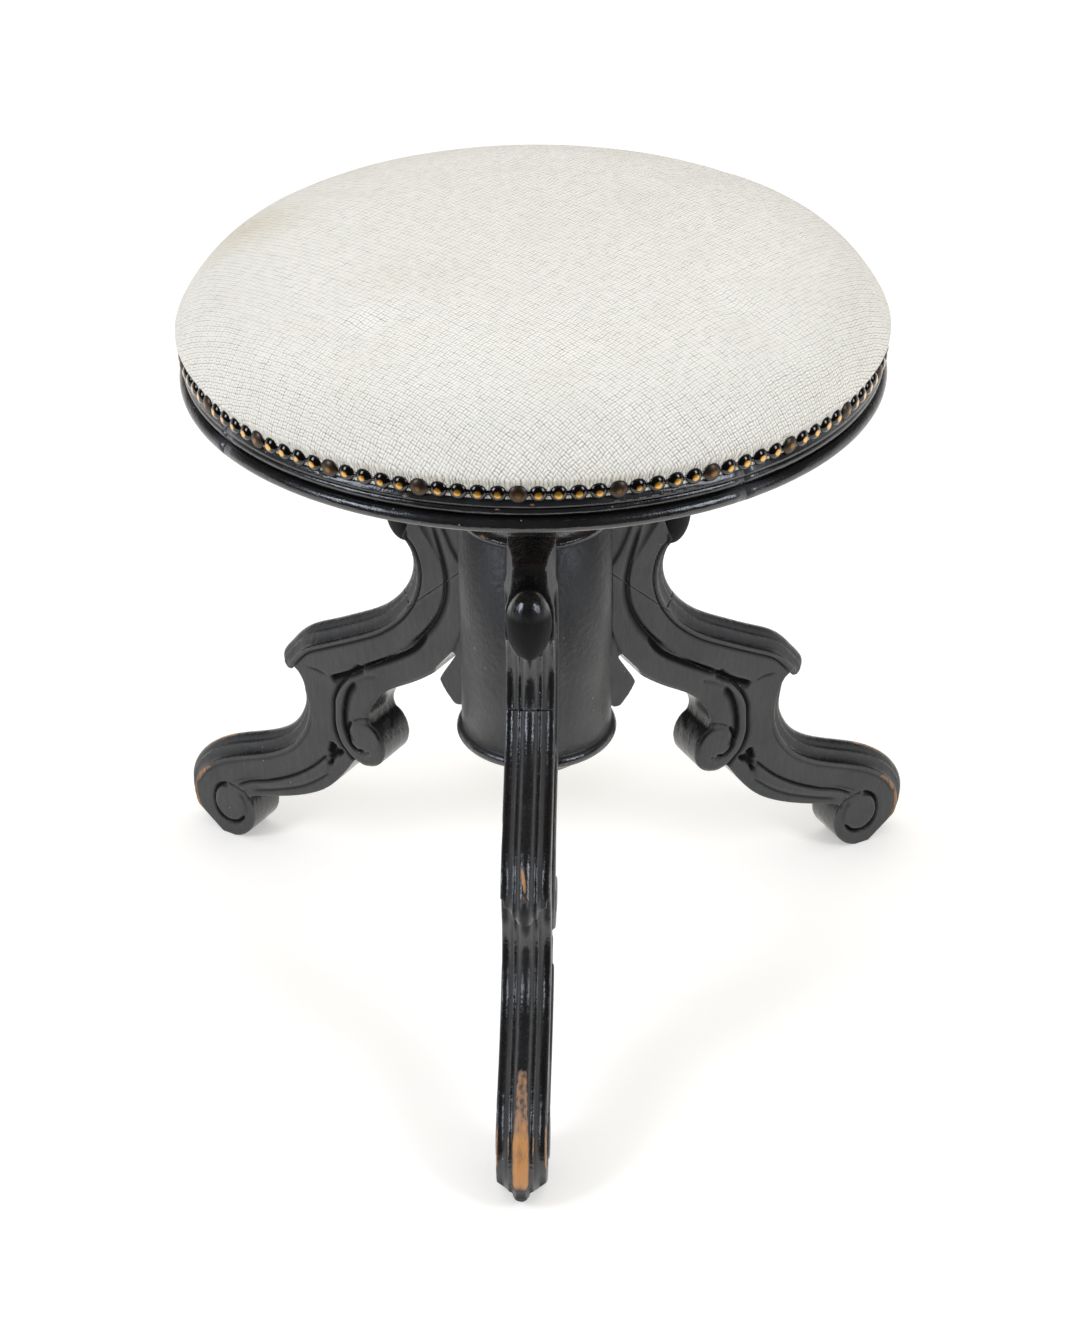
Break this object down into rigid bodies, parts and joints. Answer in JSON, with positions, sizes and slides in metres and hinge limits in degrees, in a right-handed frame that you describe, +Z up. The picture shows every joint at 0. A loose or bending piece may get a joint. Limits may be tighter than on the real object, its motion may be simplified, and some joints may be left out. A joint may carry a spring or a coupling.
{
  "type": "piano stool",
  "caption": "Round upholstered stool whose seat rises and falls on a central screw, on a turned column with three carved double-scroll legs.",
  "frame": {"origin": "on the floor, under the middle of the stool's outer box; the column's axis stands 35 mm behind it (+Y)", "axes": "+Z up along the column, -Y the front leg's direction, +X to the right as the sitter faces away from the front leg's toe"},
  "size_m": [0.4718, 0.4732, 0.478],
  "materials": {
    "black_wood": "ebonised hardwood, black paint polished to a soft gloss, worn through to orange-brown wood on the toes and knees",
    "bare_wood": "unfinished hardwood and pine",
    "brass": "cast brass, turned",
    "steel": "turned mild steel, lightly oiled",
    "cast_iron": "cast iron, black",
    "sacking": "jute hessian",
    "horsehair": "curled horsehair stuffing",
    "hopsack": "cream cotton and linen hopsack weave",
    "antique_brass": "antique-bronze plated nail heads, dark with brass highlights"
  },
  "bodies": {
    "stand": {"column": "black_wood", "column_foot_disc": "black_wood", "leg_front_head": "black_wood", "leg_front_limb": "black_wood", "leg_right_head": "black_wood", "leg_right_limb": "black_wood", "leg_left_head": "black_wood", "leg_left_limb": "black_wood", "leg_dowels": "bare_wood", "splice_dowels": "bare_wood", "nut_plate": "brass", "nut_screws": "steel", "guide_rail": "bare_wood"},
    "washer": {"stop_washer": "steel"},
    "seat": {"spindle": "steel", "end_nut": "steel", "split_pin": "steel", "seat_plate": "cast_iron", "hub_pin": "steel", "plate_screws": "steel", "seat_board": "bare_wood", "ring_segment_1": "black_wood", "ring_segment_2": "black_wood", "ring_segment_3": "black_wood", "ring_segment_4": "black_wood", "ring_splines": "bare_wood", "ring_screws": "steel", "sacking": "sacking", "sacking_tacks": "steel", "stuffing": "horsehair", "cushion_cover": "hopsack", "nail_strip": "antique_brass", "trim_nails": "antique_brass"}
  },
  "joints": [
    {"name": "seat_height", "type": "slide", "parent": "stand", "child": "washer", "axis": [0, 0, 1], "range_m": [-0.068, 0.026]},
    {"name": "seat_turn", "type": "hinge", "parent": "washer", "child": "seat", "pos_m": [0, 0.035, 0.3], "axis": [0, 0, 1], "range_deg": [-3060, 1170]}
  ],
  "couplings": [
    {"joint": "seat_height", "follows": "seat_turn", "m_per_rad": 0.0012732}
  ]
}
